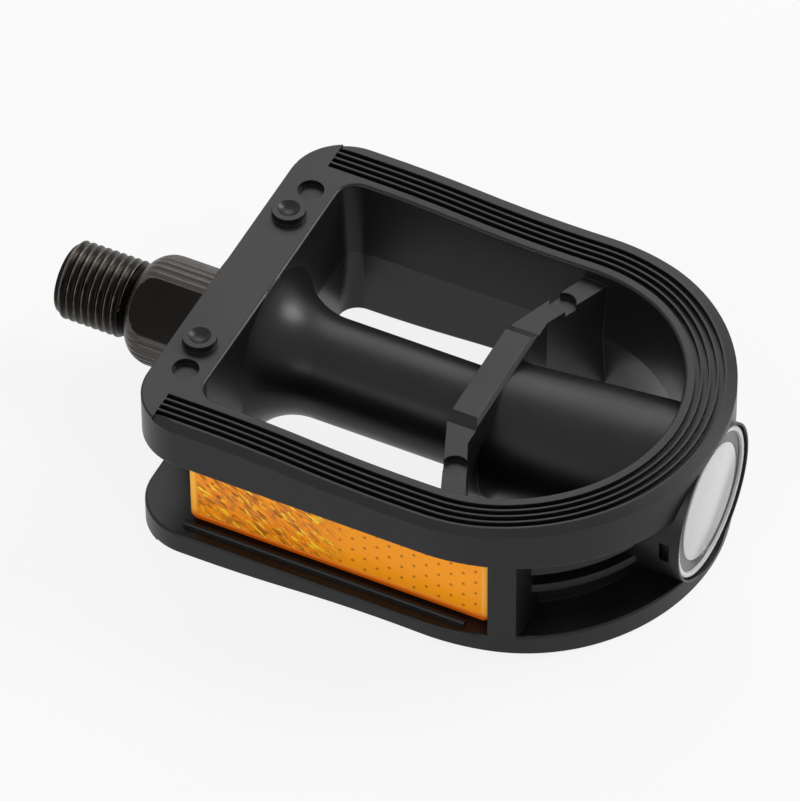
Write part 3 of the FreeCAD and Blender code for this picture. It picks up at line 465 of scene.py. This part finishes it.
def new_piece(name, shape, node, body, slot, *materials):
    """Make a finished mesh that stands for a CAD node and moves with its body."""
    mesh = bpy.data.meshes.new(name)
    shape.to_mesh(mesh)
    shape.free()
    mesh.shade_smooth()
    mesh.set_sharp_from_angle(angle=SHARP_ANGLE)
    for material in materials:
        mesh.materials.append(material)
    piece = bpy.data.objects.new(name, mesh)
    bpy.context.scene.collection.objects.link(piece)
    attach(piece, body)
    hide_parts(node)


def tidy_shape(shape):
    """Merge doubled points, then turn every face outwards."""
    bmesh.ops.remove_doubles(shape, verts=shape.verts, dist=MERGE)
    bmesh.ops.recalc_face_normals(shape, faces=shape.faces)


def open_edges(edges):
    return [edge for edge in edges if edge.is_boundary]


def ring(shape, along, radius, segments):
    """A circle round the axle, as its edges."""
    turn = Matrix.Translation((along, 0, 0)) @ Matrix.Rotation(math.radians(90), 4, "Y")
    made = bmesh.ops.create_circle(shape, segments=segments, radius=radius, matrix=turn)
    return list({edge for vert in made["verts"] for edge in vert.link_edges})


def flute(edges, sizes):
    """Press the lengthwise flutes into a ring of the collar, deeper further from the shoulder."""
    for vert in {vert for edge in edges for vert in edge.verts}:
        angle = math.atan2(vert.co.z, vert.co.y)
        share = min(max((vert.co.x - sizes.flute_start) / sizes.flute_run, 0.0), 1.0)
        depth = sizes.flute_depth * share * (0.5 - 0.5 * math.cos(sizes.flute_count * angle)) ** 2
        vert.co -= Vector((0, vert.co.y, vert.co.z)).normalized() * depth


def cut_flats(shape, sizes):
    """Cut the two wrench flats across the collar and close them."""
    normal = Vector((0, -math.sin(sizes.flat_angle), math.cos(sizes.flat_angle)))
    for side in (normal, -normal):
        geometry = shape.verts[:] + shape.edges[:] + shape.faces[:]
        bmesh.ops.bisect_plane(
            shape, geom=geometry, dist=MERGE, plane_co=side * sizes.flat_width / 2, plane_no=side,
            clear_outer=True)
        made = bmesh.ops.edgeloop_fill(shape, edges=open_edges(shape.edges))
        for face in made["faces"]:
            face.material_index = 0


def dome_points(sizes, steps):
    """The rounded shoulder as (along, radius), from its foot at the relief up to the full collar."""
    rise = sizes.collar_radius - sizes.relief_radius
    bend = (sizes.dome_length ** 2 + rise ** 2) / (2 * rise)
    top = sizes.relief_length + sizes.dome_length
    turn = math.asin(sizes.dome_length / bend)
    angles = [turn * (1 - step / steps) for step in range(steps + 1)]
    return [
        (top - bend * math.sin(angle), sizes.collar_radius - bend * (1 - math.cos(angle)))
        for angle in angles]


def make_collar(sizes):
    """The wrench collar with its rounded shoulder, flutes and flats, closed at both ends."""
    shape = bmesh.new()
    segments = sizes.flute_count * POINTS_PER_FLUTE
    points = [
        *dome_points(sizes, DOME_STEPS),
        (sizes.collar_length - sizes.collar_chamfer, sizes.collar_radius),
        (sizes.collar_length, sizes.collar_radius - sizes.collar_chamfer)]
    rings = [ring(shape, along, radius, segments) for along, radius in points]
    for fluted in rings:
        flute(fluted, sizes)
    for first, second in zip(rings, rings[1:]):
        bmesh.ops.bridge_loops(shape, edges=first + second)
    for end in (rings[0], rings[-1]):
        bmesh.ops.edgeloop_fill(shape, edges=end)
    # The round collar takes the second material, its oxide painted lighter as painted sheen; the flats keep
    # the plain oxide.
    for face in shape.faces:
        face.material_index = 1
    cut_flats(shape, sizes)
    tidy_shape(shape)
    return shape


def make_thread(sizes, tip):
    """The crank thread as a helix, with a lead-in at its tip and a plain undercut at the collar."""
    shape = bmesh.new()
    pitch = sizes.thread_pitch
    crest = sizes.thread_radius
    flank = crest - sizes.crest_round
    root = crest - sizes.thread_depth
    profile = (
        (0.0, root), (0.1, root), (0.43, flank), (0.46, crest),
        (0.54, crest), (0.57, flank), (0.9, root), (1.0, root))
    start = tip - pitch
    verts = [shape.verts.new((start + share * pitch, radius, 0)) for share, radius in profile]
    edges = [shape.edges.new(pair) for pair in zip(verts, verts[1:])]
    stop = -sizes.undercut_length
    turns = math.ceil((stop - tip) / pitch) + 2
    bmesh.ops.spin(
        shape, geom=verts + edges, axis=AXLE, cent=(0, 0, 0), dvec=AXLE * (pitch / THREAD_STEPS),
        angle=2 * math.pi * turns, steps=turns * THREAD_STEPS)
    bmesh.ops.remove_doubles(shape, verts=shape.verts, dist=MERGE)
    for along, side in ((tip, -AXLE), (stop, AXLE)):
        geometry = shape.verts[:] + shape.edges[:] + shape.faces[:]
        bmesh.ops.bisect_plane(
            shape, geom=geometry, dist=MERGE, plane_co=AXLE * along, plane_no=side, clear_outer=True)
    for vert in shape.verts:
        limit = crest - sizes.lead_in + (vert.co.x - tip)
        out = Vector((0, vert.co.y, vert.co.z))
        if out.length > limit:
            vert.co -= out.normalized() * (out.length - limit)
    loops = open_edges(shape.edges)
    tip_loop = [edge for edge in loops if abs(edge.verts[0].co.x - tip) < 2 * MERGE]
    stop_loop = [edge for edge in loops if abs(edge.verts[0].co.x - stop) < 2 * MERGE]
    bmesh.ops.edgeloop_fill(shape, edges=tip_loop)
    groove = ring(shape, stop, sizes.relief_radius, THREAD_STEPS)
    inside = ring(shape, sizes.relief_length + sizes.dome_length, sizes.relief_radius, THREAD_STEPS)
    bmesh.ops.bridge_loops(shape, edges=stop_loop + groove)
    bmesh.ops.bridge_loops(shape, edges=groove + inside)
    bmesh.ops.edgeloop_fill(shape, edges=inside)
    tidy_shape(shape)
    return shape


def make_shaft(sizes):
    """The spindle beyond its collar, as the CAD has it: inner race, shaft and keyed outer end."""
    shape = bmesh.new()
    shape.from_mesh(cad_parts["spindle"].data)
    bmesh.ops.remove_doubles(shape, verts=shape.verts, dist=MERGE)
    cut = sizes.collar_length + CLEAR
    bmesh.ops.bisect_plane(
        shape, geom=shape.verts[:] + shape.edges[:] + shape.faces[:], dist=MERGE,
        plane_co=AXLE * cut, plane_no=AXLE, clear_inner=True)
    loop = open_edges(shape.edges)
    for vert in {vert for edge in loop for vert in edge.verts}:
        vert.co.x -= sizes.collar_chamfer / 2
    bmesh.ops.edgeloop_fill(shape, edges=loop)
    return shape


def joined(*shapes):
    """Several closed shapes as one."""
    whole = bmesh.new()
    for shape in shapes:
        mesh = bpy.data.meshes.new("part_of_whole")
        shape.to_mesh(mesh)
        shape.free()
        whole.from_mesh(mesh)
        bpy.data.meshes.remove(mesh)
    return whole


def make_lens(sizes, low, high, outward, seed):
    """A reflector lens: rounded edge, plain border and a field of prisms in diagonal rows."""
    shape = bmesh.new()
    back, front = (low.y, high.y) if outward > 0 else (high.y, low.y)
    cut = sizes.corner
    outline = (
        (low.x + cut, low.z), (high.x - cut, low.z), (high.x, low.z + cut), (high.x, high.z - cut),
        (high.x - cut, high.z), (low.x + cut, high.z), (low.x, high.z - cut), (low.x, low.z + cut))
    face = shape.faces.new([shape.verts.new((x, back, z)) for x, z in outline])
    pushed = bmesh.ops.extrude_face_region(shape, geom=[face], use_keep_orig=True)["geom"]
    moved = [item for item in pushed if isinstance(item, bmesh.types.BMVert)]
    bmesh.ops.translate(shape, verts=moved, vec=(0, front - back, 0))
    rim = [edge for edge in shape.edges if all(vert in moved for vert in edge.verts)]
    bmesh.ops.bevel(
        shape, geom=rim, offset=sizes.edge_round, offset_type="OFFSET", segments=4, profile=0.5,
        affect="EDGES", material=-1, clamp_overlap=True)
    bmesh.ops.recalc_face_normals(shape, faces=shape.faces)
    facing = [item for item in shape.faces if item.normal.y * outward > 0.9]
    field = max(facing, key=lambda item: item.calc_area())
    bmesh.ops.inset_region(shape, faces=[field], thickness=sizes.border)
    bmesh.ops.inset_region(shape, faces=[field], thickness=sizes.field_depth, depth=-sizes.field_depth)
    field.material_index = 1
    cut_rows(shape, sizes.prism_pitch, low, high)
    middle = (low.x + high.x) / 2
    prisms = [item for item in shape.faces if item.material_index == 1]
    chance = random.Random(seed)
    for height, chosen in (
            (sizes.prism_height, [item for item in prisms if item.calc_center_median().x < middle]),
            (sizes.dot_height, [item for item in prisms if item.calc_center_median().x >= middle])):
        made = bmesh.ops.poke(shape, faces=chosen, offset=height * 0.5, center_mode="MEAN")
        for vert in made["verts"]:
            vert.co.x += chance.uniform(-0.5, 0.5) * height
            vert.co.z += chance.uniform(-0.5, 0.5) * height
    return shape


def cut_rows(shape, pitch, low, high):
    """Divide the field, marked by its material, into diagonal rows both ways."""
    centre = (low + high) / 2
    reach = (high.x - low.x + high.z - low.z) / (2 * math.sqrt(2))
    count = int(reach / pitch)
    for lean in (1, -1):
        normal = Vector((1, 0, lean)).normalized()
        for row in range(-count, count + 1):
            faces = [face for face in shape.faces if face.material_index == 1]
            edges = {edge for face in faces for edge in face.edges}
            verts = {vert for face in faces for vert in face.verts}
            bmesh.ops.bisect_plane(
                shape, geom=[*verts, *edges, *faces], dist=MERGE,
                plane_co=centre + normal * (row + 0.5) * pitch, plane_no=normal)


def make_cap(sizes, low, high):
    """The dust cap, turned from its profile: a raised ring, a groove whose floor is painted dark grey as
    painted shade, and a disc.
    """
    shape = bmesh.new()
    seat = high.x - sizes.disc_thickness
    disc = high.x - sizes.disc_depth
    groove = high.x - sizes.groove_depth
    rim_in = high.y - sizes.rim_width
    disc_out = rim_in - sizes.groove_width
    plug_in = sizes.plug_radius - sizes.plug_wall
    profile = (
        (disc, 0), (disc, disc_out), (groove, disc_out), (groove, rim_in), (high.x, rim_in),
        (high.x, high.y - sizes.disc_depth), (disc, high.y), (seat, high.y),
        (seat, sizes.plug_radius), (low.x, sizes.plug_radius), (low.x, plug_in), (seat, plug_in), (seat, 0))
    verts = [shape.verts.new((along, radius, 0)) for along, radius in profile]
    edges = [shape.edges.new(pair) for pair in zip(verts, verts[1:])]
    bmesh.ops.spin(
        shape, geom=verts + edges, axis=AXLE, cent=(0, 0, 0), angle=2 * math.pi, steps=CAP_STEPS,
        use_merge=True)
    tidy_shape(shape)
    for face in shape.faces:
        # The groove's floor takes the second material, dark grey as painted shade.
        face.material_index = int(abs(face.calc_center_median().x - groove) < MERGE)
    hard = [edge for edge in shape.edges if edge.is_manifold and edge.calc_face_angle() > SHARP_ANGLE]
    bmesh.ops.bevel(
        shape, geom=hard, offset=sizes.edge_round, offset_type="OFFSET", segments=2, profile=0.5,
        affect="EDGES", material=-1, clamp_overlap=True)
    return shape


class PEDAL_OT_body(bpy.types.Operator):
    """Finish the moulded body"""

    bl_idname = "pedal.body"
    bl_label = "Finish Body"

    def execute(self, context):
        dress("pedal_body", black_polypropylene())
        return {"FINISHED"}


class PEDAL_OT_spindle(bpy.types.Operator):
    """Build the spindle with its thread and fluted collar"""

    bl_idname = "pedal.spindle"
    bl_label = "Build Spindle"

    def execute(self, context):
        sizes = context.scene.pedal_spindle
        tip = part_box("spindle")[0].x
        shape = joined(make_thread(sizes, tip), make_collar(sizes), make_shaft(sizes))
        colours = context.scene.pedal_finish
        plain = oxide_steel("steel_turned_black_oxide", colours.oxide)
        # The collar's copy of the oxide is painted lighter, as painted sheen.
        painted_sheen = oxide_steel("steel_fluted_black_oxide_painted_sheen", colours.painted_sheen)
        new_piece("threaded_spindle", shape, "spindle", "axle", "spindle_steel", plain, painted_sheen)
        return {"FINISHED"}


class PEDAL_OT_bearings(bpy.types.Operator):
    """Finish the cups, balls, cone nut, washer and lock nut"""

    bl_idname = "pedal.bearings"
    bl_label = "Finish Bearings"

    def execute(self, context):
        colours = context.scene.pedal_finish
        ground = bare_steel("steel_ground_bearing", colours.bearing, 0.3, 0.25, 0.006)
        polished = bare_steel("steel_polished_ball", colours.ball, 0.08, 0.6, 0.001)
        plated = bare_steel("steel_zinc_plated", colours.zinc, 0.38, 0.4, 0.01)
        for nodes, material in (
                (("inner_bearing_cup", "outer_bearing_cup", "cone_nut"), ground),
                (("inner_balls", "outer_balls"), polished),
                (("lock_washer", "lock_nut"), plated)):
            for node in nodes:
                dress(node, material)
        return {"FINISHED"}


class PEDAL_OT_reflectors(bpy.types.Operator):
    """Build both reflector lenses and finish their back plates"""

    bl_idname = "pedal.reflectors"
    bl_label = "Build Reflectors"

    def execute(self, context):
        sizes = context.scene.pedal_reflector
        low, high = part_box("front_reflector_lens")
        edge, prisms, plate = amber_edge(low.z), amber_acrylic((low.x + high.x) / 2), pale_styrene()
        for seed, (side, outward) in enumerate((("front", -1), ("rear", 1))):
            node = f"{side}_reflector_lens"
            low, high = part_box(node)
            shape = make_lens(sizes, low, high, outward, seed)
            new_piece(f"{side}_prism_lens", shape, node, "platform", "amber_lens", edge, prisms)
            dress(f"{side}_reflector_back", plate)
        return {"FINISHED"}


class PEDAL_OT_cap(bpy.types.Operator):
    """Build the dust cap"""

    bl_idname = "pedal.cap"
    bl_label = "Build Dust Cap"

    def execute(self, context):
        low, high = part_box("dust_cap")
        shape = make_cap(context.scene.pedal_cap, low, high)
        colours = context.scene.pedal_finish
        pale = pale_abs("abs_polished_pale_grey", colours.cap)
        # The groove's floor is painted dark grey, as painted shade.
        painted_groove_shade = pale_abs("abs_polished_painted_groove_shade", colours.cap_groove_painted_shade)
        new_piece("ringed_dust_cap", shape, "dust_cap", "platform", "cap_plastic", pale, painted_groove_shade)
        return {"FINISHED"}


def seen_directly(tree):
    """One where a ray comes straight from the camera, a gloss or a clear material, and zero elsewhere."""
    path = add(tree, "ShaderNodeLightPath")
    either = add(tree, "ShaderNodeMath", {
        0: path.outputs["Is Camera Ray"], 1: path.outputs["Is Glossy Ray"]}, operation="MAXIMUM")
    return add(tree, "ShaderNodeMath", {
        0: either.outputs[0], 1: path.outputs["Is Transmission Ray"]}, operation="MAXIMUM").outputs[0]


def floor_material(sizes):
    """Matt white paper, seen at an even brightness with part of its own shading left in."""
    material, tree = new_material("paper_matt_white")
    share = add(tree, "ShaderNodeMath", {
        0: seen_directly(tree), 1: 1.0 - sizes.shadow_share}, operation="MULTIPLY")
    paper = add(tree, "ShaderNodeBsdfDiffuse", {"Color": opaque(sizes.floor_colour)})
    glow = add(tree, "ShaderNodeEmission", {"Color": opaque(sizes.floor_colour), "Strength": 1.0})
    show(tree, add(tree, "ShaderNodeMixShader", {
        0: share.outputs[0], 1: paper.outputs[0], 2: glow.outputs[0]}))
    return material


def make_world(sizes):
    """Even light all round, and a white background."""
    world = bpy.data.worlds.new("white_studio")
    world.use_nodes = True
    tree = world.node_tree
    tree.nodes.clear()
    light = add(tree, "ShaderNodeBackground", {"Color": (1.0, 1.0, 1.0, 1.0), "Strength": sizes.fill})
    white = add(tree, "ShaderNodeBackground", {"Color": opaque(sizes.floor_colour), "Strength": 1.0})
    mixed = add(tree, "ShaderNodeMixShader", {
        0: seen_directly(tree), 1: light.outputs[0], 2: white.outputs[0]})
    add(tree, "ShaderNodeOutputWorld", {"Surface": mixed.outputs[0]})
    bpy.context.scene.world = world


def make_lamp(name, place, target, size, power):
    """A square soft box that faces the object."""
    lamp = bpy.data.lights.new(name, "AREA")
    lamp.shape = "SQUARE"
    lamp.size = size
    lamp.energy = power
    holder = bpy.data.objects.new(name, lamp)
    holder.location = place
    holder.rotation_euler = (target - place).to_track_quat("-Z", "Y").to_euler()
    bpy.context.scene.collection.objects.link(holder)


def make_camera(sizes):
    """The camera, at the angle and distance that the sizes give."""
    flat = math.cos(sizes.elevation)
    back = Vector((
        math.sin(sizes.azimuth) * flat, -math.cos(sizes.azimuth) * flat, math.sin(sizes.elevation)))
    camera = bpy.data.cameras.new("studio_camera")
    camera.sensor_fit = "HORIZONTAL"
    camera.sensor_width = 36.0
    camera.lens = sizes.lens
    holder = bpy.data.objects.new("studio_camera", camera)
    turn = back.to_track_quat("Z", "Y") @ Matrix.Rotation(sizes.roll, 3, "Z").to_quaternion()
    holder.location = Vector(sizes.aim) + back * sizes.distance
    holder.rotation_euler = turn.to_euler()
    bpy.context.scene.collection.objects.link(holder)
    bpy.context.scene.camera = holder


class PEDAL_OT_stage(bpy.types.Operator):
    """Set up the floor, light and camera"""

    bl_idname = "pedal.stage"
    bl_label = "Set Stage"

    def execute(self, context):
        sizes = context.scene.pedal_stage
        shape = bmesh.new()
        bmesh.ops.create_grid(
            shape, x_segments=1, y_segments=1, size=FLOOR_REACH,
            matrix=Matrix.Translation((0, 0, cad_low.z)))
        mesh = bpy.data.meshes.new("studio_floor")
        shape.to_mesh(mesh)
        shape.free()
        mesh.materials.append(floor_material(sizes))
        floor = bpy.data.objects.new("studio_floor", mesh)
        context.scene.collection.objects.link(floor)
        make_world(sizes)
        centre = (cad_low + cad_high) / 2
        for name, offset, size, power in (
                ("key_soft_box", (-0.36, 0.80, 0.74), 0.75, sizes.key_power),
                ("side_soft_box", (0.66, 0.72, 0.78), 0.5, sizes.side_power),
                ("front_soft_box", (-0.05, -0.92, 0.42), 0.5, sizes.front_power)):
            make_lamp(name, centre + Vector(offset), centre, size, power)
        make_camera(sizes)
        context.scene.view_settings.view_transform = "Standard"
        return {"FINISHED"}


class PEDAL_PT_build(bpy.types.Panel):
    """The build steps"""

    bl_idname = "PEDAL_PT_build"
    bl_label = "Bicycle Pedal"
    bl_space_type = "VIEW_3D"
    bl_region_type = "UI"
    bl_category = "Pedal"

    def draw(self, context):
        for operator in OPERATORS:
            self.layout.operator(operator.bl_idname)


GROUPS = {
    "pedal_spindle": PedalSpindleSettings,
    "pedal_reflector": PedalReflectorSettings,
    "pedal_cap": PedalCapSettings,
    "pedal_finish": PedalFinishSettings,
    "pedal_stage": PedalStageSettings,
}
OPERATORS = (
    PEDAL_OT_body, PEDAL_OT_spindle, PEDAL_OT_bearings, PEDAL_OT_reflectors, PEDAL_OT_cap, PEDAL_OT_stage)


def register():
    for name, group in GROUPS.items():
        bpy.utils.register_class(group)
        setattr(bpy.types.Scene, name, PointerProperty(type=group))
    for kind in (*OPERATORS, PEDAL_PT_build):
        bpy.utils.register_class(kind)


def unregister():
    for kind in (PEDAL_PT_build, *reversed(OPERATORS)):
        bpy.utils.unregister_class(kind)
    for name, group in GROUPS.items():
        delattr(bpy.types.Scene, name)
        bpy.utils.unregister_class(group)


def main():
    register()
    bpy.ops.pedal.body()
    bpy.ops.pedal.spindle()
    bpy.ops.pedal.bearings()
    bpy.ops.pedal.reflectors()
    bpy.ops.pedal.cap()
    bpy.ops.pedal.stage()


if __name__ == "__main__":
    main()
